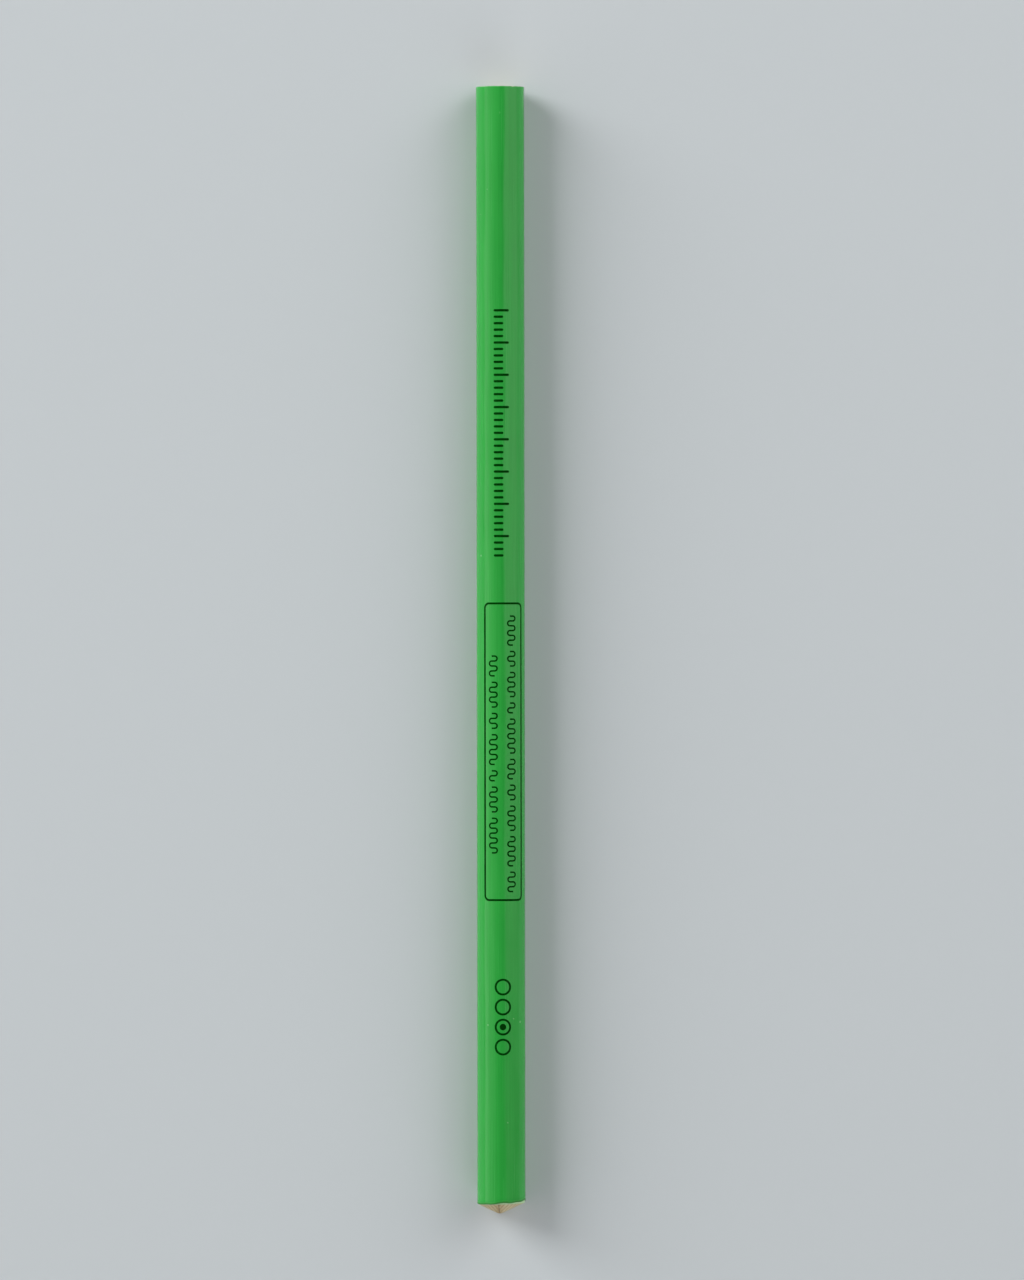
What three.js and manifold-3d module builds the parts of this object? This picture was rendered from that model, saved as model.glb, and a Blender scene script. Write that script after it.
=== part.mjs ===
// A wood-cased marking pencil with a thick waxy core, lying on its side.
//
// Millimetres, +Z up. The pencil's axis runs along Y: the square-cut end is at +Y and the blunt
// bare-wood cone points to -Y. The origin is the middle of its length, on the surface it lies on.
//
// The casing is two grooved wooden slats glued round the core, milled round, then undercoated and
// lacquered. Every layer is a prism of the same many-sided section, so each layer's inner faces are
// the outer faces of the layer below, and one flat side lies on the table.

import * as THREE from 'three';
import { mergeVertices } from 'three/addons/utils/BufferGeometryUtils.js';
import Module from 'manifold-3d';

const wasm = await Module();
wasm.setup();

// Driving dimensions
const overallLength = 175;
const barrelDiameter = 7.5;
const lacquerThickness = 0.12;
const undercoatThickness = 0.08;
const glueThickness = 0.1;
const coreDiameter = 3.8;
// The core stops this far short of the cone's tip, where the casing closes over it.
const coreSetback = 3.0;
// Core, seam and cone share one centre line, which the milling left this far off the barrel's own.
const millingOffset = 0.25;
// The seam between the slats leans this far out of the upright plane.
const seamTurnDegrees = 3;
const coneHalfAngleDegrees = 65;
const noseRadius = 1.0;

// Resolution of the round forms
const barrelSides = 24;
const coneSides = 48;
const noseSteps = 3;

// Places that follow from the dimensions
const tipY = -overallLength / 2;
const flatEndY = overallLength / 2;
const axisZ = barrelDiameter / 2;
const barrelRadius = barrelDiameter / 2;
const undercoatRadius = barrelRadius - lacquerThickness;
const woodRadius = undercoatRadius - undercoatThickness;
const coreRadius = coreDiameter / 2;
const grooveRadius = coreRadius + glueThickness;
const coreEndY = tipY + coreSetback;
const seamTurn = THREE.MathUtils.degToRad(seamTurnDegrees);
const coneHalfAngle = THREE.MathUtils.degToRad(coneHalfAngleDegrees);
// Cutting blocks reach past the barrel by this much on every side.
const overreach = barrelDiameter;

const finishes = {
  lacquer: new THREE.MeshStandardMaterial({ color: 0x2a9d3d, roughness: 0.25, metalness: 0 }),
  undercoat: new THREE.MeshStandardMaterial({ color: 0xc9d8bd, roughness: 0.6, metalness: 0 }),
  wood: new THREE.MeshStandardMaterial({ color: 0xc6a478, roughness: 0.75, metalness: 0 }),
  glue: new THREE.MeshStandardMaterial({ color: 0x7d5c38, roughness: 0.6, metalness: 0 }),
  core: new THREE.MeshStandardMaterial({ color: 0x1f7a35, roughness: 0.5, metalness: 0 }),
};

// Turns a closed three.js geometry into a solid that can be joined and cut.
function solid(geometry) {
  const bare = new THREE.BufferGeometry();
  bare.setAttribute('position', geometry.getAttribute('position'));
  bare.setIndex(geometry.getIndex());
  const merged = mergeVertices(bare, 1e-5);
  const mesh = new wasm.Mesh({
    numProp: 3,
    vertProperties: new Float32Array(merged.getAttribute('position').array),
    triVerts: new Uint32Array(merged.getIndex().array),
  });
  return new wasm.Manifold(mesh);
}

// Turns a finished solid into a named mesh.
function piece(name, shape, material) {
  const { vertProperties, triVerts } = shape.getMesh();
  const geometry = new THREE.BufferGeometry();
  geometry.setAttribute('position', new THREE.BufferAttribute(vertProperties, 3));
  geometry.setIndex(new THREE.BufferAttribute(triVerts, 1));
  geometry.computeVertexNormals();
  const mesh = new THREE.Mesh(geometry, material);
  mesh.name = name;
  return mesh;
}

// A many-sided bar along Y whose flats lie at the given radius, with one flat facing down.
function bar(radius, fromY, toY, centreX = 0) {
  const cornerRadius = radius / Math.cos(Math.PI / barrelSides);
  const corners = [];
  for (let side = 0; side < barrelSides; side += 1) {
    const angle = ((side + 0.5) / barrelSides) * 2 * Math.PI;
    corners.push(new THREE.Vector2(cornerRadius * Math.cos(angle), cornerRadius * Math.sin(angle)));
  }
  const section = new THREE.Shape(corners);
  const geometry = new THREE.ExtrudeGeometry(section, { depth: toY - fromY, bevelEnabled: false });
  geometry.rotateX(-Math.PI / 2);
  geometry.translate(centreX, fromY, axisZ);
  return solid(geometry);
}

// The space that the pointing cutter leaves: a blunt cone with a rounded nose, then a wide shaft.
function pointedEnvelope() {
  const lean = Math.PI / 2 - coneHalfAngle;
  const noseCentreY = tipY + noseRadius;
  const profile = [];
  for (let step = 0; step <= noseSteps; step += 1) {
    const angle = (step / noseSteps) * lean;
    const fromAxis = noseRadius * Math.sin(angle);
    profile.push(new THREE.Vector2(fromAxis, noseCentreY - noseRadius * Math.cos(angle)));
  }
  const noseEdge = profile[noseSteps];
  const shaftRadius = barrelDiameter;
  const coneRise = (shaftRadius - noseEdge.x) / Math.tan(coneHalfAngle);
  profile.push(new THREE.Vector2(shaftRadius, noseEdge.y + coneRise));
  profile.push(new THREE.Vector2(shaftRadius, flatEndY));
  profile.push(new THREE.Vector2(0, flatEndY));
  const geometry = new THREE.LatheGeometry(profile, coneSides);
  geometry.translate(-millingOffset, 0, axisZ);
  return solid(geometry);
}

// A block on one side of the seam, or the thin slab of the seam itself, between two distances
// from the seam's middle plane. It leans with the seam about the core's centre line.
function seamBlock(fromX, toX) {
  const height = barrelDiameter + 2 * overreach;
  const length = overallLength + 2 * overreach;
  const geometry = new THREE.BoxGeometry(toX - fromX, length, height);
  geometry.translate((fromX + toX) / 2, 0, 0);
  geometry.rotateY(-seamTurn);
  geometry.translate(-millingOffset, 0, axisZ);
  return solid(geometry);
}

const envelope = pointedEnvelope();

// One layer of the barrel, from its outer radius down to its inner radius.
function coat(outerRadius, innerRadius) {
  const outside = bar(outerRadius, tipY, flatEndY);
  const inside = bar(innerRadius, tipY - overreach, flatEndY + overreach);
  return outside.subtract(inside).intersect(envelope);
}

const lacquer = coat(barrelRadius, undercoatRadius);
const undercoat = coat(undercoatRadius, woodRadius);
const casing = bar(woodRadius, tipY, flatEndY).intersect(envelope);
const core = bar(coreRadius, coreEndY, flatEndY, -millingOffset);
const coreClearance = bar(coreRadius, coreEndY, flatEndY + overreach, -millingOffset);
const groove = bar(grooveRadius, coreEndY - glueThickness, flatEndY + overreach, -millingOffset);

const grooved = casing.subtract(groove);
const seamHalf = glueThickness / 2;
const slatLeft = grooved.intersect(seamBlock(-barrelDiameter - overreach, -seamHalf));
const slatRight = grooved.intersect(seamBlock(seamHalf, barrelDiameter + overreach));
const glueSpace = groove.add(seamBlock(-seamHalf, seamHalf));
const glue = casing.intersect(glueSpace).subtract(coreClearance);

const pencil = new THREE.Group();
pencil.add(
  piece('lead_core', core, finishes.core),
  piece('glue_film', glue, finishes.glue),
  piece('slat_left', slatLeft, finishes.wood),
  piece('slat_right', slatRight, finishes.wood),
  piece('undercoat', undercoat, finishes.undercoat),
  piece('lacquer_coat', lacquer, finishes.lacquer),
);

export default pencil;
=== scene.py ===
import math

import bmesh
import bpy
import numpy as np
from mathutils import Matrix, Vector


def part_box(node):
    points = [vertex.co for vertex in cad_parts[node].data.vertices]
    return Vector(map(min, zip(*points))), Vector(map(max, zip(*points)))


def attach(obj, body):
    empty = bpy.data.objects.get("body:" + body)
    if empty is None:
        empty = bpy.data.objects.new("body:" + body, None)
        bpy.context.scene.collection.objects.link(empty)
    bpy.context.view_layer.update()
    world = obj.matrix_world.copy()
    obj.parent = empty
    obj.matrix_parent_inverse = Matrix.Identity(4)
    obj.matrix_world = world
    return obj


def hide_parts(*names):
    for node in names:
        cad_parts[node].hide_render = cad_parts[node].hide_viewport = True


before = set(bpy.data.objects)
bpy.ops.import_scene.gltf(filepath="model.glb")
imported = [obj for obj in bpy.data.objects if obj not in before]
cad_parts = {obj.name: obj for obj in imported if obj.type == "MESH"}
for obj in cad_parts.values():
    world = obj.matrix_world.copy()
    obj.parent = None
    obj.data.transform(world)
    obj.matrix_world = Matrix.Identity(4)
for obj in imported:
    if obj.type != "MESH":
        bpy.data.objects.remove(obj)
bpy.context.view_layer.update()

# A wood-cased marking pencil lying on its side, its blunt bare-wood cone towards -Y.
# Lengths are in metres. Sizes come from the frame, apart from the ones named here.

MM = 0.001

# Sizes read from the frame
BARREL_LOW, BARREL_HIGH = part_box("lacquer_coat")
UNDERCOAT_LOW, UNDERCOAT_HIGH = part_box("undercoat")
LEFT_LOW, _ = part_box("slat_left")
_, RIGHT_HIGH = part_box("slat_right")
GLUE_LOW, GLUE_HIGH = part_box("glue_film")
CORE_LOW, CORE_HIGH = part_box("lead_core")

BARREL_RADIUS = (BARREL_HIGH[2] - BARREL_LOW[2]) / 2
UNDERCOAT_RADIUS = (UNDERCOAT_HIGH[2] - UNDERCOAT_LOW[2]) / 2
WOOD_RADIUS = (RIGHT_HIGH[0] - LEFT_LOW[0]) / 2
CORE_RADIUS = (CORE_HIGH[0] - CORE_LOW[0]) / 2
GROOVE_RADIUS = (GLUE_HIGH[0] - GLUE_LOW[0]) / 2
GLUE_THICKNESS = GROOVE_RADIUS - CORE_RADIUS
AXIS_Z = (BARREL_HIGH[2] + BARREL_LOW[2]) / 2
TIP_Y = GLUE_LOW[1]
FLAT_END_Y = BARREL_HIGH[1]
CORE_END_Y = CORE_LOW[1]
# The centre line that core, seam and cone share, beside the barrel's own.
MILLED_X = (CORE_LOW[0] + CORE_HIGH[0]) / 2

# The cone and the seam, as the solids have them
CONE_HALF_ANGLE = math.radians(65)
NOSE_RADIUS = 1.0 * MM
NOSE_EDGE = NOSE_RADIUS * math.cos(CONE_HALF_ANGLE)
SEAM_TURN = math.radians(3)
# Angles round the barrel are measured from its top towards +X.
SEAM_ANGLE = -SEAM_TURN

# Edges, surfaces and the printing's film
RIM_ROUNDING = 0.09 * MM
UNDERCOAT_ROUNDING = 0.01 * MM
RIM_CHIP_AT = math.radians(32)
CRISP_EDGE = math.radians(32)
MERGE_DISTANCE = 0.0001 * MM
# The glue stands this far behind the wood that it holds.
GLUE_SUNK = 0.012 * MM
INK_HEIGHT = 0.006 * MM
INK_DEPTH = 0.02 * MM

# The printed marks: places along the pencil from the middle of its length, and widths across
# them measured round the barrel from its top line.
PRINT_LINE = 0.32 * MM
SCALE_FROM_Y = 52.7 * MM
SCALE_TO_Y = 14.7 * MM
SCALE_PITCH = 1.0 * MM
SCALE_LINE = 0.38 * MM
SCALE_LONG_EVERY = 5
SCALE_FOOT = -1.06 * MM
SCALE_LONG_TOP = 1.35 * MM
SCALE_SHORT_TOP = 0.45 * MM
PANEL_FROM_Y = 7.27 * MM
PANEL_TO_Y = -38.72 * MM
PANEL_LEFT = -2.67 * MM
PANEL_RIGHT = 3.7 * MM
PANEL_CORNER = 0.75 * MM
WAVE_LINE = 0.25 * MM
WAVE_HEIGHT = 1.25 * MM
WAVE_GAP = 1.0 * MM
UPPER_ROW_AT = 1.72 * MM
UPPER_ROW_Y = (5.3 * MM, -37.4 * MM)
UPPER_ROW_WAVES = (6, 3, 5, 2, 7, 4, 3, 5, 6, 4)
LOWER_ROW_AT = -1.20 * MM
LOWER_ROW_Y = (-0.9 * MM, -31.4 * MM)
LOWER_ROW_WAVES = (4, 5, 3, 6, 2, 5, 7)
RING_ROW_Y = (-52.2 * MM, -61.5 * MM)
RING_ROW_AT = 0.28 * MM
RING_COUNT = 4
RING_MARKED = 2
RING_RADIUS = 1.3 * MM
RING_LINE = 0.32 * MM
RING_DOT_RADIUS = 0.5 * MM


# Mesh building


def mesh_piece(name, vertices, faces, material, node):
    """A closed mesh object at the origin. Where a node is named, it stands for that solid of the
    frame."""
    mesh = bpy.data.meshes.new(name)
    mesh.from_pydata(vertices.tolist(), [], faces)
    work = bmesh.new()
    work.from_mesh(mesh)
    bmesh.ops.remove_doubles(work, verts=work.verts, dist=MERGE_DISTANCE)
    bmesh.ops.recalc_face_normals(work, faces=work.faces)
    for face in work.faces:
        face.smooth = True
    for edge in work.edges:
        edge.smooth = len(edge.link_faces) == 2 and edge.calc_face_angle(0.0) < CRISP_EDGE
    work.to_mesh(mesh)
    work.free()
    mesh.materials.append(material)
    piece = bpy.data.objects.new(name, mesh)
    bpy.context.scene.collection.objects.link(piece)
    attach(piece, "root")
    if node:
        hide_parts(node)
    return piece


def grid_faces(rows, columns, close_rows=False, close_columns=False, first=0):
    """Quads between neighbouring points of a grid that is numbered row by row from first."""
    row_count = rows if close_rows else rows - 1
    column_count = columns if close_columns else columns - 1
    i, j = np.meshgrid(np.arange(row_count), np.arange(column_count), indexing="ij")
    i = i.ravel()
    j = j.ravel()
    next_i = (i + 1) % rows
    next_j = (j + 1) % columns
    corners = (
        i * columns + j,
        i * columns + next_j,
        next_i * columns + next_j,
        next_i * columns + j,
    )
    return (first + np.stack(corners, axis=1)).tolist()


def revolved(loop, angle, centre_x):
    """Points of a loop of (radius, y) pairs, each a value for every angle, turned about a
    line along Y through centre_x."""
    radius = np.array([r + 0 * angle for r, _ in loop])
    y = np.array([along + 0 * angle for _, along in loop])
    x = centre_x + radius * np.sin(angle)
    z = AXIS_Z + radius * np.cos(angle)
    return np.stack([x, y, z], axis=2)


def ripple(angle, seed, waves):
    """A closed wobble from -1 to 1: a sum of sines with whole numbers of waves to the turn and
    seeded phases and weights."""
    draw = np.random.default_rng(seed)
    phases = draw.uniform(0, 2 * math.pi, len(waves))
    weights = draw.uniform(0.5, 1.0, len(waves))
    total = sum(w * np.sin(n * angle + p) for w, n, p in zip(weights, waves, phases))
    return total / weights.sum()


def bump(angle, centre, width):
    """A smooth hump of height 1 on a turn of angles: a bell curve about a centre."""
    away = np.angle(np.exp(1j * (angle - centre)))
    return np.exp(-((away / width) ** 2))


def cone_y(from_centre):
    """The pointed surface at a distance from the milled centre line: a sphere of the nose
    radius at the tip, then the cone that touches the sphere."""
    inside = np.minimum(from_centre, NOSE_EDGE)
    nose = NOSE_RADIUS - np.sqrt(NOSE_RADIUS**2 - inside**2)
    flank = np.maximum(from_centre - NOSE_EDGE, 0) / math.tan(CONE_HALF_ANGLE)
    return TIP_Y + nose + flank


def milled_distance(radius, angle):
    """Distance from the milled centre line of a point on a circle about the barrel's own axis."""
    return np.hypot(radius * np.sin(angle) - MILLED_X, radius * np.cos(angle))


def reach(radius, angle, x, z):
    """Distance from a point beside a circle's centre out to the circle, along an angle: the
    positive root of the quadratic that the circle's equation gives."""
    ahead = x * np.sin(angle) + z * np.cos(angle)
    aside = x * np.cos(angle) - z * np.sin(angle)
    return np.sqrt(radius**2 - aside**2) - ahead


# The coats


def coat_shell(name, outer, inner, rim, trims, material, node):
    """A thin sleeve: a loop of (radius, y) points runs over the soft edge that the cone cut left,
    up the outer wall, over the rounded rim at the flat end and down the inner wall. The two trims
    say how far the cut edge and the rim stand back at an angle. The outer wall's rows lie closer
    together towards the cut edge, and the inner wall stands back by a share of the outer's."""
    columns = 240
    wall_rows = 60
    edge_rows = 5
    rim_rows = 9
    crowding = 2.5
    inner_share = 0.85
    angle = np.linspace(0, 2 * math.pi, columns, endpoint=False)
    cut_trim, rim_trim = trims
    set_back = cut_trim(angle)
    flat_y = FLAT_END_Y - rim_trim(angle)
    outer_end = cone_y(milled_distance(outer, angle)) + set_back
    inner_end = cone_y(milled_distance(inner, angle)) + inner_share * set_back
    soft = 0.3 * (outer - inner)
    wall_y = outer_end + soft
    rim_y = flat_y - rim
    loop = []
    for turn in np.linspace(math.pi / 2, 0, edge_rows):
        loop.append((outer - soft + soft * math.cos(turn), wall_y - soft * math.sin(turn)))
    for step in np.linspace(0, 1, wall_rows)[1:] ** crowding:
        loop.append((outer, wall_y + step * (rim_y - wall_y)))
    for turn in np.linspace(0, math.pi / 2, rim_rows)[1:]:
        loop.append((outer - rim + rim * math.cos(turn), rim_y + rim * math.sin(turn)))
    loop.append((inner, flat_y))
    for step in np.linspace(0, 1, wall_rows)[1:]:
        loop.append((inner, flat_y + step * (inner_end - flat_y)))
    points = revolved(loop, angle, 0.0)
    faces = grid_faces(len(loop), columns, True, True)
    return mesh_piece(name, points.reshape(-1, 3), faces, material, node)


def mark_cut_edge(mesh, trim):
    """Notes on each point how near it is to the edge that the cone cut left: 1 at the edge,
    falling as a bell curve with the height above it."""
    fade = 0.24 * MM
    points = np.empty(3 * len(mesh.vertices), dtype=np.float32)
    mesh.vertices.foreach_get("co", points)
    x, y, z = points.reshape(-1, 3).T
    angle = np.arctan2(x, z - AXIS_Z)
    above = y - cone_y(np.hypot(x - MILLED_X, z - AXIS_Z)) - trim(angle)
    near = np.exp(-((above / fade) ** 2)).astype(np.float32)
    mesh.attributes.new("cut_edge", "FLOAT", "POINT").data.foreach_set("value", near)


def lacquer_trim(angle):
    """How far the lacquer's edge stands back from the cone cut: a little and ragged all round,
    more at the top, more again to the right of it, and most where it is chipped at the side."""
    ragged = 0.04 * MM * (1 + ripple(angle, 3, (5, 9, 14, 23, 31, 47)))
    unevenness = 0.19 * MM * bump(angle, math.radians(3), math.radians(14))
    torn = 0.23 * MM * bump(angle, math.radians(46), math.radians(24))
    chipped = 0.46 * MM * bump(angle, math.radians(80), math.radians(16))
    return ragged + unevenness + torn + chipped


def lacquer_rim_trim(angle):
    """The lacquer is flush with the square-cut end, but for one small chip beside the top."""
    return 0.13 * MM * bump(angle, RIM_CHIP_AT, math.radians(4.5))


def undercoat_trim(angle):
    """The undercoat keeps nearly to the cone cut."""
    return 0.012 * MM * (1 + ripple(angle, 8, (7, 12, 19)))


def undercoat_rim_trim(angle):
    """The undercoat is flush with the square-cut end, but for a shallow hollow at the chip."""
    return 0.03 * MM * bump(angle, RIM_CHIP_AT, math.radians(3.5))


# The wooden casing, its glue and the core


def cone_relief(out, angle):
    """Turning marks on the cone, which fade to nothing at the tip: fine rings, each with three
    slight lobes, and a chatter round it."""
    ring_pitch = 0.19 * MM
    ring_height = 0.003 * MM
    chatter_height = 0.008 * MM
    fade = 1.2 * MM
    lobes = 0.9 * np.sin(3 * angle)
    rings = ring_height * np.sin(2 * math.pi * out / ring_pitch + lobes)
    chatter = chatter_height * (1 + ripple(angle, 21, (6, 10, 17, 26)))
    return (rings + chatter) * np.clip(out / fade, 0, 1)


def slat(name, side, material, node):
    """Half of the casing, on the left for a side of -1 and on the right for 1. A loop of (radius,
    y) points runs out over the cone, up the wall, in over the cut end, down the groove and in
    behind the core's end, for each angle of the half turn from the seam. The half turn's centre
    stands off the seam's middle by half the glue. The two flat seam faces close it."""
    columns = 121
    cone_rows = 72
    wall_rows = 12
    end_rows = 14
    groove_rows = 6
    start = SEAM_ANGLE if side > 0 else SEAM_ANGLE + math.pi
    angle = start + np.linspace(0, math.pi, columns)
    off_x = side * GLUE_THICKNESS / 2 * math.cos(SEAM_ANGLE)
    off_z = -side * GLUE_THICKNESS / 2 * math.sin(SEAM_ANGLE)
    wall = reach(WOOD_RADIUS, angle, MILLED_X + off_x, off_z)
    groove = reach(GROOVE_RADIUS, angle, off_x, off_z)

    def cut_y(out):
        from_centre = np.hypot(off_x + out * np.sin(angle), off_z + out * np.cos(angle))
        return cone_y(from_centre) + cone_relief(out, angle)

    wall_end = cut_y(wall)
    blind_y = CORE_END_Y - GLUE_THICKNESS
    loop = []
    for step in np.linspace(0, 1, cone_rows):
        loop.append((wall * step, cut_y(wall * step)))
    for step in np.linspace(0, 1, wall_rows)[1:]:
        loop.append((wall, wall_end + step * (FLAT_END_Y - wall_end)))
    for step in np.linspace(0, 1, end_rows)[1:]:
        loop.append((wall + step * (groove - wall), FLAT_END_Y))
    for step in np.linspace(0, 1, groove_rows)[1:]:
        loop.append((groove, FLAT_END_Y + step * (blind_y - FLAT_END_Y)))
    loop.append((0, blind_y))
    points = revolved(loop, angle, MILLED_X + off_x)
    points[:, :, 2] += off_z
    rows = len(loop)
    faces = grid_faces(rows, columns)
    faces.append(list(range(0, rows * columns, columns)))
    faces.append(list(range(columns - 1, rows * columns, columns))[::-1])
    return mesh_piece(name, points.reshape(-1, 3), faces, material, node)


def glue_sheet(name, material, node):
    """The bond: a flat sheet in the seam, in two arms either side of the core, whose outline
    follows the cone, the walls and the cut end, and a thin sleeve round the core."""
    nose_points = 15
    columns = 96
    both_ways = np.array([SEAM_ANGLE, SEAM_ANGLE + math.pi])
    wall_up, wall_down = reach(WOOD_RADIUS, both_ways, MILLED_X, 0)
    nose = np.linspace(-NOSE_EDGE, NOSE_EDGE, nose_points)
    across = np.concatenate([[-wall_down], nose, [wall_up]])
    cone_edge = np.stack([across, cone_y(np.abs(across)) + GLUE_SUNK], axis=1)
    flat_y = FLAT_END_Y - GLUE_SUNK
    inner = (GROOVE_RADIUS + CORE_RADIUS) / 2
    blind_y = CORE_END_Y - GLUE_THICKNESS
    fork = (
        (wall_up, flat_y),
        (inner, flat_y),
        (inner, blind_y),
        (-inner, blind_y),
        (-inner, flat_y),
        (-wall_down, flat_y),
    )
    outline = np.concatenate([cone_edge, np.array(fork)])
    count = len(outline)
    sides = []
    for side in (-1, 1):
        shift = side * GLUE_THICKNESS / 2
        x = MILLED_X + outline[:, 0] * math.sin(SEAM_ANGLE) + shift * math.cos(SEAM_ANGLE)
        z = AXIS_Z + outline[:, 0] * math.cos(SEAM_ANGLE) - shift * math.sin(SEAM_ANGLE)
        sides.append(np.stack([x, outline[:, 1], z], axis=1))
    faces = grid_faces(2, count, close_columns=True)
    faces.append(list(range(count))[::-1])
    faces.append(list(range(count, 2 * count)))
    angle = np.linspace(0, 2 * math.pi, columns, endpoint=False)
    loop = (
        (GROOVE_RADIUS, blind_y),
        (GROOVE_RADIUS, flat_y),
        (CORE_RADIUS, flat_y),
        (CORE_RADIUS, CORE_END_Y),
    )
    sleeve = revolved(loop, angle, MILLED_X).reshape(-1, 3)
    faces += grid_faces(len(loop), columns, True, True, 2 * count)
    points = np.concatenate([*sides, sleeve])
    return mesh_piece(name, points, faces, material, node)


def core_rod(name, material, node):
    """The waxy core: a round bar with a small chamfer. Its cut face is a little hollow, as a
    parabola, and smeared into low waves: sines across the smear that sway along it."""
    columns = 120
    wall_rows = 6
    face_rows = 36
    angle = np.linspace(0, 2 * math.pi, columns, endpoint=False)
    edge = 0.05 * MM
    hollow = 0.03 * MM
    sunk = 0.01 * MM
    smear_height = 0.005 * MM
    smear_step = 0.13 * MM
    sway_step = 0.7 * MM
    sway = 1.7
    top = FLAT_END_Y - edge
    face_radius = CORE_RADIUS - 0.4 * edge
    loop = [(0, CORE_END_Y), (CORE_RADIUS, CORE_END_Y)]
    for step in np.linspace(0, 1, wall_rows)[1:]:
        loop.append((CORE_RADIUS, CORE_END_Y + step * (top - CORE_END_Y)))
    for step in np.linspace(1, 0, face_rows):
        out = face_radius * step
        x = out * np.sin(angle)
        z = out * np.cos(angle)
        smear = smear_height * np.sin(x / smear_step + sway * np.sin(z / sway_step))
        loop.append((out, FLAT_END_Y - sunk - hollow * (1 - step**2) - smear * step))
    points = revolved(loop, angle, MILLED_X)
    faces = grid_faces(len(loop), columns, close_columns=True)
    return mesh_piece(name, points.reshape(-1, 3), faces, material, node)


# The printed marks


def wrap(flat, radius):
    """Wraps flat points round the barrel: the first number is measured along its outer circle."""
    angle = flat[..., 0] / BARREL_RADIUS
    x = radius * np.sin(angle)
    z = AXIS_Z + radius * np.cos(angle)
    return np.stack([x, flat[..., 1], z], axis=-1)


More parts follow.
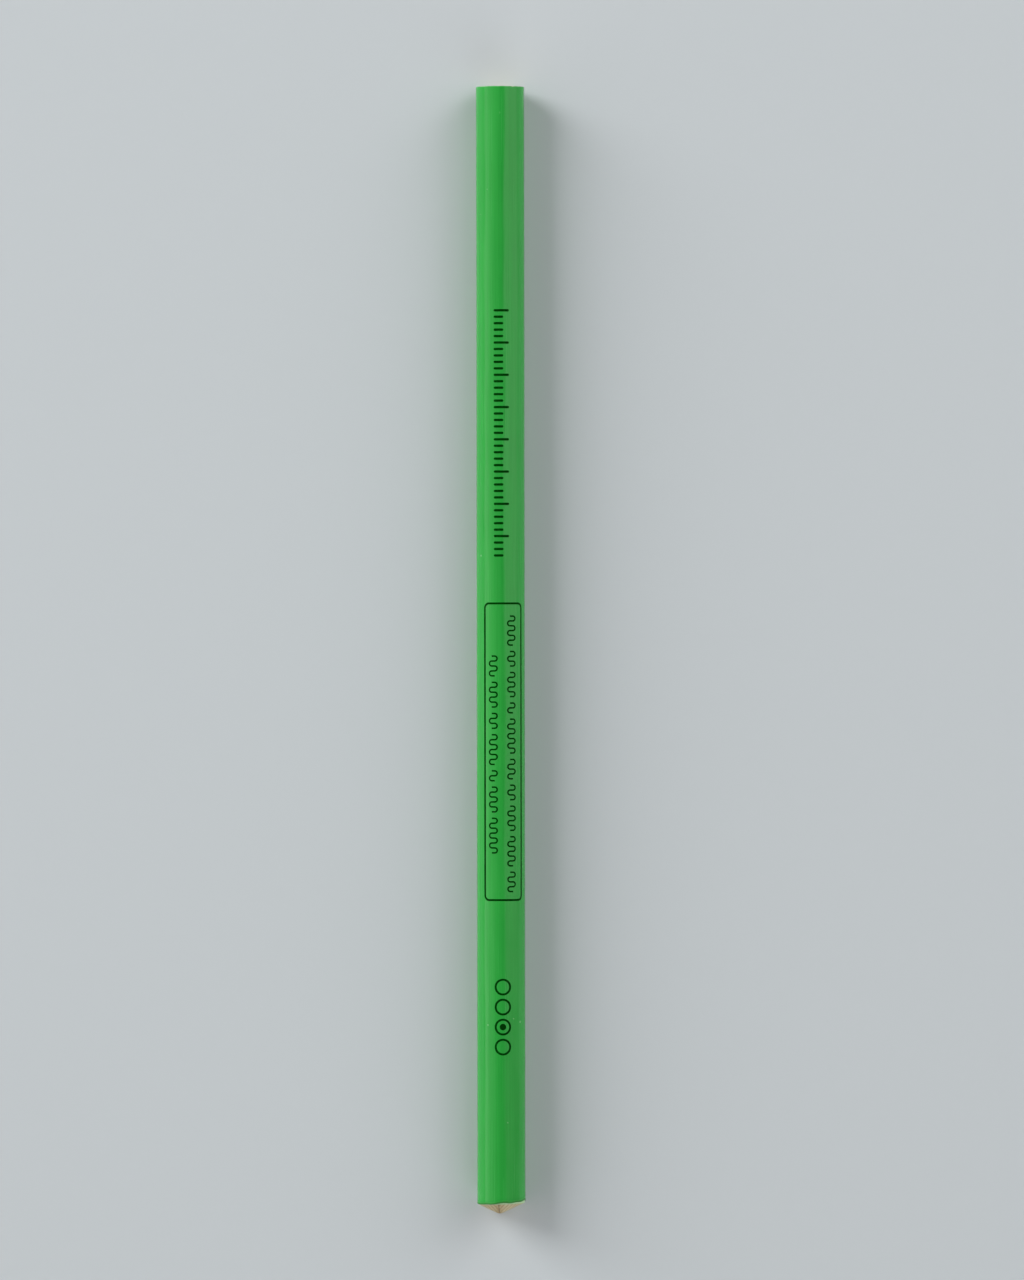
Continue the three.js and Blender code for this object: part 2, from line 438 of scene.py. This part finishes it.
class Print:
    """Collects bands drawn flat, as (distance round the barrel, distance along it), and wraps
    each on the barrel as a thin closed film."""

    # The largest steps between points across a band and along its straight parts
    CROSS_STEP = 0.22 * MM
    BAR_STEP = 0.15 * MM
    SIDE_STEP = 0.2 * MM
    # Points in each round stretch, and in the straight run between two half circles
    BAR_END_POINTS = 8
    QUARTER_POINTS = 10
    SWING_POINTS = 13
    RUN_POINTS = 6
    RING_POINTS = 64
    # A bar's ends stay this share of its width wide, so that they close with a small face.
    BAR_END_SHARE = 0.06

    def __init__(self):
        self.points = []
        self.faces = []
        self.count = 0

    def band(self, path, half_widths, closed):
        """A film that follows a path of flat points: each row of points crosses the band on its
        top and comes back underneath."""
        ahead = np.roll(path, -1, axis=0)
        behind = np.roll(path, 1, axis=0)
        if not closed:
            ahead[-1] = path[-1]
            behind[0] = path[0]
        along = ahead - behind
        along /= np.linalg.norm(along, axis=1)[:, None]
        normal = np.stack([-along[:, 1], along[:, 0]], axis=1)
        across = max(2, 1 + math.ceil(2 * half_widths.max() / self.CROSS_STEP))
        places = np.linspace(-1, 1, across)
        offset = places[None, :, None] * half_widths[:, None, None] * normal[:, None, :]
        flat = path[:, None, :] + offset
        top = wrap(flat, BARREL_RADIUS + INK_HEIGHT)
        under = wrap(flat[:, ::-1], BARREL_RADIUS - INK_DEPTH)
        rows = len(path)
        columns = 2 * across
        points = np.concatenate([top, under], axis=1).reshape(-1, 3)
        self.faces += grid_faces(rows, columns, closed, True, self.count)
        if not closed:
            last = self.count + columns * (rows - 1)
            self.faces.append(list(range(self.count, self.count + columns)))
            self.faces.append(list(range(last, last + columns))[::-1])
        self.points.append(points)
        self.count += len(points)

    def bar(self, start, end, width):
        """A straight band with round ends: near an end its half width is a half circle's height."""
        start = np.array(start)
        end = np.array(end)
        length = np.linalg.norm(end - start)
        half_width = width / 2
        turn = np.linspace(0, math.pi / 2, self.BAR_END_POINTS)
        head = half_width * (1 - np.cos(turn))
        middle_count = max(2, math.ceil((length - width) / self.BAR_STEP))
        middle = np.linspace(half_width, length - half_width, middle_count + 1)[1:-1]
        along = np.concatenate([head, middle, (length - head)[::-1]])
        swell = np.maximum(np.sin(turn), self.BAR_END_SHARE) * half_width
        half_widths = np.concatenate([swell, np.full(len(middle), half_width), swell[::-1]])
        path = start + (end - start) * (along / length)[:, None]
        self.band(path, half_widths, closed=False)

    def ring(self, centre, radius, width):
        """A circle drawn as a closed band."""
        turn = np.linspace(0, 2 * math.pi, self.RING_POINTS, endpoint=False)
        path = np.array(centre) + radius * np.stack([np.cos(turn), np.sin(turn)], axis=1)
        self.band(path, np.full(len(path), width / 2), closed=True)

    def disc(self, centre, radius):
        """A filled circle: a bar that is hardly longer than it is wide."""
        x, y = centre
        half_length = 1.01 * radius
        self.bar((x, y - half_length), (x, y + half_length), 2 * radius)

    def frame(self, left, right, bottom, top, corner, width):
        """A rounded rectangle drawn as a closed band: four quarter circles and dense sides."""
        arcs = []
        quarters = (
            (right - corner, top - corner, 0),
            (left + corner, top - corner, 1),
            (left + corner, bottom + corner, 2),
            (right - corner, bottom + corner, 3),
        )
        for x, y, quarter in quarters:
            turn = (quarter + np.linspace(0, 1, self.QUARTER_POINTS)) * math.pi / 2
            arcs.append(np.stack([x + corner * np.cos(turn), y + corner * np.sin(turn)], axis=1))
        path = []
        for arc, following in zip(arcs, arcs[1:] + arcs[:1]):
            path.append(arc)
            gap = following[0] - arc[-1]
            count = max(3, math.ceil(np.linalg.norm(gap) / self.SIDE_STEP))
            steps = np.linspace(0, 1, count + 1)[1:-1, None]
            path.append(arc[-1] + gap * steps)
        points = np.concatenate(path)
        self.band(points, np.full(len(points), width / 2), closed=True)

    def wave(self, at, from_y, turns, radius):
        """A winding line: half circles at its left and right by turns, joined by straight runs
        across the row."""
        half_run = WAVE_HEIGHT / 2 - radius
        swing = np.linspace(0, math.pi, self.SWING_POINTS)
        run = np.linspace(-half_run, half_run, self.RUN_POINTS)
        path = []
        y = from_y
        for turn in range(turns):
            side = 1 if turn % 2 == 0 else -1
            path.append(np.stack([at + side * run[:-1], np.full(len(run) - 1, y)], axis=1))
            x = at + side * (half_run + radius * np.sin(swing))
            path.append(np.stack([x, y - radius * (1 - np.cos(swing))], axis=1))
            y -= 2 * radius
        path.append(np.stack([at - side * run[1:], np.full(len(run) - 1, y)], axis=1))
        points = np.concatenate(path)
        self.band(points, np.full(len(points), WAVE_LINE / 2), closed=False)

    def waves(self, at, ends_y, turn_counts):
        """A row of waves with gaps between them. Their half circles are as large as it takes to
        fill the row."""
        drawn = ends_y[0] - ends_y[1] - WAVE_GAP * (len(turn_counts) - 1)
        radius = drawn / sum(turn_counts) / 2
        y = ends_y[0]
        for turns in turn_counts:
            self.wave(at, y, turns, radius)
            y -= 2 * radius * turns + WAVE_GAP

    def piece(self, name, material):
        """The collected films as one piece, which stands for no solid of the frame."""
        points = np.concatenate(self.points)
        return mesh_piece(name, points, self.faces, material, None)


def printed_scale(material):
    """A plain millimetre scale, every fifth tick long, where the upper printing stands."""
    marks = Print()
    count = round((SCALE_FROM_Y - SCALE_TO_Y) / SCALE_PITCH)
    for index, y in enumerate(np.linspace(SCALE_FROM_Y, SCALE_TO_Y, count + 1)):
        top = SCALE_SHORT_TOP if index % SCALE_LONG_EVERY else SCALE_LONG_TOP
        marks.bar((SCALE_FOOT, y), (top, y), SCALE_LINE)
    return marks.piece("printed_scale", material)


def printed_panel(material):
    """A plain rounded frame with two rows of waves in it."""
    marks = Print()
    marks.frame(PANEL_LEFT, PANEL_RIGHT, PANEL_TO_Y, PANEL_FROM_Y, PANEL_CORNER, PRINT_LINE)
    marks.waves(UPPER_ROW_AT, UPPER_ROW_Y, UPPER_ROW_WAVES)
    marks.waves(LOWER_ROW_AT, LOWER_ROW_Y, LOWER_ROW_WAVES)
    return marks.piece("printed_panel", material)


def printed_rings(material):
    """A plain row of rings, one of them with a dot in it."""
    marks = Print()
    for index, y in enumerate(np.linspace(*RING_ROW_Y, RING_COUNT)):
        centre = (RING_ROW_AT, y)
        marks.ring(centre, RING_RADIUS - RING_LINE / 2, RING_LINE)
        if index == RING_MARKED:
            marks.disc(centre, RING_DOT_RADIUS)
    return marks.piece("printed_rings", material)


# Materials


def grain(across, along=None):
    """The scale of a pattern: its features to the metre across the pencil and along it, or the
    same every way."""
    return (across, across if along is None else along, across)


class Finish:
    """A procedural material: a Principled shader and the nodes that feed it."""

    # Where a colour Mix node has its factor, its two colours and its result
    MIX_INPUTS = (0, 6, 7)
    MIX_OUTPUT = 2

    def __init__(self, name, ior=1.5):
        self.material = bpy.data.materials.new(name)
        self.material.use_nodes = True
        self.nodes = self.material.node_tree.nodes
        self.links = self.material.node_tree.links
        self.shader = self.nodes["Principled BSDF"]
        self.shader.inputs["IOR"].default_value = ior
        self.coords = self.nodes.new("ShaderNodeTexCoord").outputs["Object"]

    def feed(self, socket, value):
        """Links an output to an input, or sets the input to a plain value."""
        if isinstance(value, bpy.types.NodeSocket):
            self.links.new(value, socket)
        elif isinstance(value, tuple) and socket.type == "RGBA":
            socket.default_value = (*value, 1.0)
        else:
            socket.default_value = value

    def turn(self, degrees):
        """Turns everything that is placed from here on about the Y axis."""
        node = self.nodes.new("ShaderNodeVectorRotate")
        node.rotation_type = "Y_AXIS"
        node.inputs["Angle"].default_value = math.radians(degrees)
        self.links.new(self.coords, node.inputs["Vector"])
        self.coords = node.outputs["Vector"]

    def placed(self, scale, shift=(0, 0, 0)):
        """Object coordinates times a scale, in features to the metre, and then shifted."""
        mapping = self.nodes.new("ShaderNodeMapping")
        mapping.inputs["Scale"].default_value = scale
        mapping.inputs["Location"].default_value = shift
        self.links.new(self.coords, mapping.inputs["Vector"])
        return mapping.outputs["Vector"]

    def noise(self, scale, detail=2.0, shift=(0, 0, 0)):
        """Soft noise from 0 to 1, nearly all of it between 0.3 and 0.7."""
        node = self.nodes.new("ShaderNodeTexNoise")
        node.inputs["Scale"].default_value = 1.0
        node.inputs["Detail"].default_value = detail
        self.links.new(self.placed(scale, shift), node.inputs["Vector"])
        return node.outputs["Fac"]

    def cells(self, scale):
        """Voronoi cells: the distance to each cell's point, and a random colour for each cell."""
        node = self.nodes.new("ShaderNodeTexVoronoi")
        node.inputs["Scale"].default_value = 1.0
        self.links.new(self.placed(scale), node.inputs["Vector"])
        return node.outputs["Distance"], node.outputs["Color"]

    def noted(self, name):
        """A value that the mesh keeps at each of its points."""
        node = self.nodes.new("ShaderNodeAttribute")
        node.attribute_name = name
        return node.outputs["Fac"]

    def spread(self, value, low, high, to_low=0.0, to_high=1.0):
        """Maps the range from low to high smoothly onto another, and stops at its ends."""
        node = self.nodes.new("ShaderNodeMapRange")
        node.interpolation_type = "SMOOTHSTEP"
        self.feed(node.inputs["Value"], value)
        node.inputs["From Min"].default_value = low
        node.inputs["From Max"].default_value = high
        node.inputs["To Min"].default_value = to_low
        node.inputs["To Max"].default_value = to_high
        return node.outputs["Result"]

    def stretched(self, noise, to_low=0.0, to_high=1.0):
        """Spreads the usual range of a noise over another range."""
        return self.spread(noise, 0.3, 0.7, to_low, to_high)

    def maths(self, operation, first, second=0.0):
        """One step of arithmetic on two outputs or plain values."""
        node = self.nodes.new("ShaderNodeMath")
        node.operation = operation
        self.feed(node.inputs[0], first)
        self.feed(node.inputs[1], second)
        return node.outputs[0]

    def blend(self, amount, first, second):
        """The first colour where amount is 0 and the second where it is 1."""
        node = self.nodes.new("ShaderNodeMix")
        node.data_type = "RGBA"
        factor, colour_a, colour_b = (node.inputs[index] for index in self.MIX_INPUTS)
        self.feed(factor, amount)
        self.feed(colour_a, first)
        self.feed(colour_b, second)
        return node.outputs[self.MIX_OUTPUT]

    def part(self, vector, axis):
        """One coordinate of a vector, or one channel of a colour."""
        node = self.nodes.new("ShaderNodeSeparateXYZ")
        self.links.new(vector, node.inputs["Vector"])
        return node.outputs[axis]

    def relief(self, height, depth, below=None):
        """A bump of a real depth in metres for a height from 0 to 1, on top of another one."""
        node = self.nodes.new("ShaderNodeBump")
        node.inputs["Strength"].default_value = 1.0
        node.inputs["Distance"].default_value = depth
        self.links.new(height, node.inputs["Height"])
        if below is not None:
            self.links.new(below, node.inputs["Normal"])
        return node.outputs["Normal"]

    def done(self, colour, roughness, normal=None):
        """Feeds the shader and gives back the finished material."""
        self.feed(self.shader.inputs["Base Color"], colour)
        self.feed(self.shader.inputs["Roughness"], roughness)
        if normal is not None:
            self.links.new(normal, self.shader.inputs["Normal"])
        return self.material


LACQUER_GREEN = (0.028, 0.372, 0.050)
LACQUER_DEEP = (0.024, 0.335, 0.044)
LACQUER_SPECK_AND_HIGHLIGHT = (0.30, 0.60, 0.30)
LACQUER_EDGE_SHADE = (0.020, 0.19, 0.022)


def green_lacquer():
    """Gloss lacquer: faint lengthwise streaks, slow mottling, long sags and a fine orange peel,
    pinhead specks of dust under the gloss, hairline scratches, a pale line round the square-cut
    rim that is a painted highlight, and a darker line along the cone's cut edge that is painted
    shade, where the gloss is also duller."""
    finish = Finish("green_lacquer", ior=1.46)

    # Streaks and mottling
    streaks = finish.noise(grain(4200, 45), 3.0)
    mottle = finish.noise(grain(300, 90))
    fine = finish.maths("MULTIPLY", streaks, 0.6)
    slow = finish.maths("MULTIPLY", mottle, 0.4)
    tone = finish.maths("ADD", fine, slow)
    colour = finish.blend(finish.stretched(tone), LACQUER_DEEP, LACQUER_GREEN)

    # Specks: a small dot in a few of the cells, each of its own size
    distance, cell = finish.cells(grain(1000, 800))
    chosen = finish.spread(finish.part(cell, 0), 0.93, 0.94)
    size = finish.spread(finish.part(cell, 1), 0.0, 1.0, 0.05, 0.16)
    dot = finish.maths("LESS_THAN", distance, size)
    specks = finish.maths("MULTIPLY", chosen, dot)
    colour = finish.blend(finish.maths("MULTIPLY", specks, 0.5), colour, LACQUER_SPECK_AND_HIGHLIGHT)

    # Painted highlight: a pale line round the rim at the square-cut end, broken into patches
    unevenness = finish.noise(grain(2600))
    along = finish.part(finish.coords, 1)
    at_rim = finish.spread(along, FLAT_END_Y - 0.16 * MM, FLAT_END_Y - 0.02 * MM)
    rim = finish.maths("MULTIPLY", at_rim, finish.spread(unevenness, 0.36, 0.62, 0.35, 0.95))
    colour = finish.blend(rim, colour, LACQUER_SPECK_AND_HIGHLIGHT)

    # Painted shade: a darker line along the cone's cut edge, broken into patches
    patchy = finish.spread(unevenness, 0.3, 0.6, 0.6, 0.95)
    edge_shade_mask = finish.maths("MULTIPLY", finish.noted("cut_edge"), patchy)
    colour = finish.blend(edge_shade_mask, colour, LACQUER_EDGE_SHADE)

    # The gloss, duller in the scratches and along the painted-shade line at the cut edge
    scratch = finish.spread(finish.noise(grain(9000, 45), 1.0), 0.66, 0.74)
    satin = finish.stretched(mottle, 0.16, 0.25)
    roughness = finish.maths("ADD", satin, finish.maths("MULTIPLY", scratch, 0.12))
    roughness = finish.maths("ADD", roughness, finish.maths("MULTIPLY", edge_shade_mask, 0.4))

    # Sags, orange peel, streaks and specks in relief
    sags = finish.noise(grain(380, 60), 1.0)
    peel = finish.noise(grain(1100, 700), 1.0)
    normal = finish.relief(sags, 0.16 * MM)
    normal = finish.relief(peel, 0.008 * MM, normal)
    normal = finish.relief(streaks, 0.001 * MM, normal)
    normal = finish.relief(specks, 0.008 * MM, normal)
    return finish.done(colour, roughness, normal)


UNDERCOAT_PALE = (0.52, 0.69, 0.43)
UNDERCOAT_STAINED = (0.38, 0.57, 0.31)


def pale_undercoat():
    """Chalky primer: matte, a little uneven, stained by the green above it."""
    finish = Finish("pale_undercoat")
    chalk = finish.noise(grain(5000), 3.0)
    colour = finish.blend(finish.stretched(chalk), UNDERCOAT_STAINED, UNDERCOAT_PALE)
    return finish.done(colour, 0.7, finish.relief(chalk, 0.006 * MM))


WOOD_PALE = (0.78, 0.70, 0.45)
WOOD_TAN = (0.58, 0.47, 0.25)
WOOD_LATE = (0.42, 0.27, 0.11)
WOOD_PORE = (0.28, 0.17, 0.08)
WOOD_STAINED = (0.43, 0.27, 0.09)


def bare_wood(name, turn, shift, painted_shade):
    """Pale softwood: growth rings about a pith far outside the pencil, rays that run straight
    away from it, fibres along Y whose cut ends show as fine dots, and a brown stain where the
    glue soaked in beside the seam. The turn about Y in degrees and the shift, in features, say
    how the slat was cut. The last value, from 0 to about 0.3, is painted shade: it darkens the
    whole slat's colour so that the cone's flank on that side looks less lit."""
    finish = Finish(name)

    # The stain, strongest at the seam
    beside = finish.maths("SUBTRACT", finish.part(finish.coords, 0), MILLED_X)
    from_seam = finish.maths("ABSOLUTE", beside)
    near_seam = finish.spread(from_seam, 0.05 * MM, 0.9 * MM, 0.8, 0.0)
    uneven = finish.spread(finish.noise(grain(1500), 2.0, shift), 0.35, 0.65, 0.2, 1.0)
    soak = finish.maths("MULTIPLY", near_seam, uneven)

    # Growth rings. The texture turns through 20 radians to the unit, so this scale makes one
    # ring to the unit, and the unit is the ring pitch.
    finish.turn(turn)
    ring_pitch = 0.62 * MM
    pith_rings_away = 52.0
    pith = (pith_rings_away + shift[0], 0.0, shift[2])
    rings = finish.nodes.new("ShaderNodeTexWave")
    rings.wave_type = "RINGS"
    rings.rings_direction = "Y"
    rings.wave_profile = "SAW"
    rings.inputs["Scale"].default_value = 2 * math.pi / 20
    rings.inputs["Distortion"].default_value = 2.2
    rings.inputs["Detail"].default_value = 1.5
    rings.inputs["Detail Scale"].default_value = 0.4
    finish.links.new(finish.placed(grain(1 / ring_pitch), pith), rings.inputs["Vector"])
    ring = rings.outputs["Fac"]

    # Slow warps, rays, cut fibre ends and fibres
    warp = finish.noise(grain(420, 22), 3.0, shift)
    rays = finish.noise((1100, 900, 12000), 2.0, shift)
    dots, _ = finish.cells(grain(15000, 500))
    fibre = finish.noise(grain(14000, 420), 2.0, shift)

    # Colour, from the early wood to the cut pores, and the stain over it
    wide = finish.maths("MULTIPLY", finish.spread(ring, 0.35, 1.0), 0.5)
    tone = finish.maths("ADD", wide, finish.maths("MULTIPLY", warp, 0.35))
    # Painted shade: the whole slat's colour is made darker here, as shade on its side of the cone.
    tone = finish.maths("ADD", tone, painted_shade)
    colour = finish.blend(finish.spread(tone, 0.2, 0.7), WOOD_PALE, WOOD_TAN)
    colour = finish.blend(finish.spread(ring, 0.72, 0.98, 0.0, 0.75), colour, WOOD_LATE)
    colour = finish.blend(finish.spread(rays, 0.56, 0.72, 0.0, 0.55), colour, WOOD_LATE)
    colour = finish.blend(finish.spread(fibre, 0.50, 0.75, 0.0, 0.4), colour, WOOD_LATE)
    colour = finish.blend(finish.spread(dots, 0.10, 0.32, 0.30, 0.0), colour, WOOD_PORE)
    colour = finish.blend(soak, colour, WOOD_STAINED)

    normal = finish.relief(fibre, 0.010 * MM)
    normal = finish.relief(rays, 0.010 * MM, normal)
    normal = finish.relief(dots, 0.006 * MM, normal)
    return finish.done(colour, finish.stretched(fibre, 0.62, 0.82), normal)


GLUE_DARK = (0.13, 0.075, 0.032)
GLUE_BROWN = (0.24, 0.15, 0.07)


def dark_glue():
    """Dried wood glue: brown, slightly shiny, uneven."""
    finish = Finish("dark_glue")
    lumps = finish.noise(grain(3000, 700))
    colour = finish.blend(finish.stretched(lumps), GLUE_DARK, GLUE_BROWN)
    return finish.done(colour, 0.5, finish.relief(lumps, 0.01 * MM))


CORE_GREEN = (0.020, 0.235, 0.048)
CORE_DEEP = (0.010, 0.150, 0.030)
CORE_SMEARED = (0.07, 0.36, 0.12)
CORE_PIT_SHADE = (0.006, 0.07, 0.016)


def waxy_core():
    """The marking core: green wax, smeared by the saw, with small pits in some of its cells,
    painted darker as shade.
    """
    finish = Finish("waxy_core", ior=1.45)
    smear = finish.noise((7000, 2000, 700), 3.0)
    blotch = finish.noise(grain(1200), 3.0)
    distance, cell = finish.cells(grain(4200))
    chosen = finish.spread(finish.part(cell, 0), 0.6, 0.7)
    pit = finish.maths("MULTIPLY", finish.spread(distance, 0.12, 0.26, 1.0, 0.0), chosen)
    colour = finish.blend(finish.stretched(blotch), CORE_DEEP, CORE_GREEN)
    colour = finish.blend(finish.spread(smear, 0.5, 0.75, 0.0, 0.35), colour, CORE_SMEARED)
    # Painted shade: the pits are made darker.
    colour = finish.blend(finish.maths("MULTIPLY", pit, 0.6), colour, CORE_PIT_SHADE)
    normal = finish.relief(smear, 0.012 * MM)
    normal = finish.relief(finish.maths("SUBTRACT", 1.0, pit), 0.012 * MM, normal)
    return finish.done(colour, finish.stretched(smear, 0.34, 0.52), normal)


INK_BLACK = (0.0, 0.036, 0.001)
INK_THIN = (0.003, 0.16, 0.010)


def stamped_ink():
    """Black printing ink with hardly any gloss, thin enough in places for the green to show."""
    finish = Finish("stamped_ink")
    finish.shader.inputs["Specular IOR Level"].default_value = 0.02
    pinholes = finish.noise(grain(5200), 3.0)
    patch = finish.noise(grain(700, 260))
    unevenness = finish.spread(patch, 0.35, 0.65, 0.15, 0.7)
    thin = finish.maths("MULTIPLY", finish.spread(pinholes, 0.50, 0.78), unevenness)
    colour = finish.blend(thin, INK_BLACK, INK_THIN)
    return finish.done(colour, 0.6, finish.relief(pinholes, 0.003 * MM))


# Building the pencil

# The left slat is painted 0.22 darker, as shade on the cone's left flank.
wood_left = bare_wood("casing_wood_left", 12, (0, 0, 0), 0.22)
wood_right = bare_wood("casing_wood_right", 160, (7.3, 2.1, 4.4), 0.0)
ink = stamped_ink()

barrel = coat_shell(
    "barrel_lacquer", BARREL_RADIUS, UNDERCOAT_RADIUS, RIM_ROUNDING,
    (lacquer_trim, lacquer_rim_trim), green_lacquer(), "lacquer_coat",
)
mark_cut_edge(barrel.data, lacquer_trim)
coat_shell(
    "undercoat_layer", UNDERCOAT_RADIUS, WOOD_RADIUS, UNDERCOAT_ROUNDING,
    (undercoat_trim, undercoat_rim_trim), pale_undercoat(), "undercoat",
)
slat("casing_half_left", -1, wood_left, "slat_left")
slat("casing_half_right", 1, wood_right, "slat_right")
glue_sheet("seam_glue", dark_glue(), "glue_film")
core_rod("marking_core", waxy_core(), "lead_core")
printed_scale(ink)
printed_panel(ink)
printed_rings(ink)


# Floor, light and camera

FLOOR_PAPER = (0.60, 0.64, 0.66)
BACKDROP_PALE = (0.80, 0.83, 0.85)
SURROUND_WHITE = (0.97, 0.99, 1.0)


def studio_floor():
    """A wide plain floor that touches the underside of the barrel."""
    half = 6.0
    mesh = bpy.data.meshes.new("floor")
    corners = [(-half, -half, 0), (half, -half, 0), (half, half, 0), (-half, half, 0)]
    mesh.from_pydata(corners, [], [(0, 1, 2, 3)])
    mesh.materials.append(Finish("floor_paper").done(FLOOR_PAPER, 0.85))
    floor = bpy.data.objects.new("floor", mesh)
    bpy.context.scene.collection.objects.link(floor)


def soft_light(name, towards, distance, width, height, radiance, along=0.0):
    """A rectangular lamp that faces the middle of the pencil from a direction, and is then moved
    along the pencil. Its power follows from its radiance, which is 1 where it looks white."""
    lamp = bpy.data.lights.new(name, "AREA")
    lamp.shape = "RECTANGLE"
    lamp.size = width
    lamp.size_y = height
    lamp.energy = radiance * math.pi * width * height
    light = bpy.data.objects.new(name, lamp)
    light.visible_camera = False
    back = np.array(towards) / np.linalg.norm(towards)
    side = np.cross((0.0, 1.0, 0.0), back)
    side /= np.linalg.norm(side)
    up = np.cross(back, side)
    place = back * distance + np.array([0, along, AXIS_Z])
    facing = np.identity(4)
    facing[:3] = np.stack([side, up, back, place], axis=1)
    light.matrix_world = Matrix(facing.tolist())
    bpy.context.scene.collection.objects.link(light)
    return light


def side_panel(name, side, low, high, length, radiance, along=0.0):
    """A long lamp on one side of the pencil, between two heights above the horizon in degrees."""
    distance = 2.1
    middle = math.radians((low + high) / 2)
    towards = (side * math.cos(middle), 0.0, math.sin(middle))
    width = 2 * distance * math.tan(math.radians((high - low) / 2))
    soft_light(name, towards, distance, width, length, radiance, along)


def soft_world(radiance):
    """A dim even surround for the object, which the camera alone sees as a pale backdrop. The
    pencil has no metal or glass in which that backdrop would have to show."""
    world = bpy.data.worlds.new("surround")
    world.use_nodes = True
    nodes = world.node_tree.nodes
    links = world.node_tree.links
    shade = nodes["Background"]
    backdrop = nodes.new("ShaderNodeBackground")
    backdrop.inputs["Color"].default_value = (*BACKDROP_PALE, 1)
    shade.inputs["Color"].default_value = (*SURROUND_WHITE, 1)
    shade.inputs["Strength"].default_value = radiance
    path = nodes.new("ShaderNodeLightPath")
    mix = nodes.new("ShaderNodeMixShader")
    links.new(path.outputs["Is Camera Ray"], mix.inputs[0])
    links.new(shade.outputs[0], mix.inputs[1])
    links.new(backdrop.outputs[0], mix.inputs[2])
    links.new(mix.outputs[0], nodes["World Output"].inputs["Surface"])
    bpy.context.scene.world = world


def overhead_camera():
    """Looks straight down from far off, with the pencil a little left of and below the middle,
    leaning by a fraction of a degree as it does in the picture. The sensor's width lies along
    the picture's longer side, which is its height."""
    frame_height_px = 1280
    # What one pixel of the picture shows at the pencil
    pixel = 0.15537 * MM
    distance = 1.5
    pencil_left_px = 11.25
    pencil_below_px = 10.25
    lean = math.radians(0.07)
    camera = bpy.data.cameras.new("overhead")
    camera.sensor_width = 36
    camera.lens = camera.sensor_width * distance / (frame_height_px * pixel)
    camera.clip_end = 20
    holder = bpy.data.objects.new("overhead", camera)
    holder.location = (pencil_left_px * pixel, pencil_below_px * pixel, AXIS_Z + distance)
    holder.rotation_euler = (0, 0, -lean)
    bpy.context.scene.collection.objects.link(holder)
    bpy.context.scene.camera = holder


studio_floor()

# The window in two layers: the gloss mirrors the first one, and the second only lights.
WINDOW_TOWARDS = (-0.76, 0.51, 0.39)
soft_light("key_window", WINDOW_TOWARDS, distance=2.5, width=1.92, height=1.15, radiance=2.8)
behind_window = soft_light(
    "behind_window", WINDOW_TOWARDS, distance=2.7, width=2.08, height=1.25, radiance=5.5
)
behind_window.visible_glossy = False

# Fill from beyond the square-cut end and from before the cone
FAR_TOWARDS = (0.70, 0.58, 0.42)
NEAR_TOWARDS = (0.42, -0.84, 0.33)
soft_light("far_right_fill", FAR_TOWARDS, distance=2.6, width=1.4, height=1.4, radiance=2.9)
soft_light("near_low_fill", NEAR_TOWARDS, distance=2.6, width=3.6, height=1.8, radiance=1.38)

# Panels on either side, which the barrel mirrors as lengthwise bands
side_panel("left_low_panel", side=-1, low=7, high=28, length=4.8, radiance=1.15)
side_panel("left_gleam_panel", side=-1, low=7, high=17, length=2.4, radiance=0.35, along=-1.13)
side_panel("left_middle_panel", side=-1, low=28, high=46, length=4.0, radiance=0.65)
side_panel("left_upper_panel", side=-1, low=46, high=62, length=3.2, radiance=0.38)
side_panel("left_top_panel", side=-1, low=62, high=84, length=3.2, radiance=0.18, along=1.50)
side_panel("right_panel", side=1, low=3, high=72, length=3.2, radiance=1.05, along=1.46)

soft_world(0.02)
overhead_camera()

scene = bpy.context.scene
scene.view_settings.view_transform = "Standard"
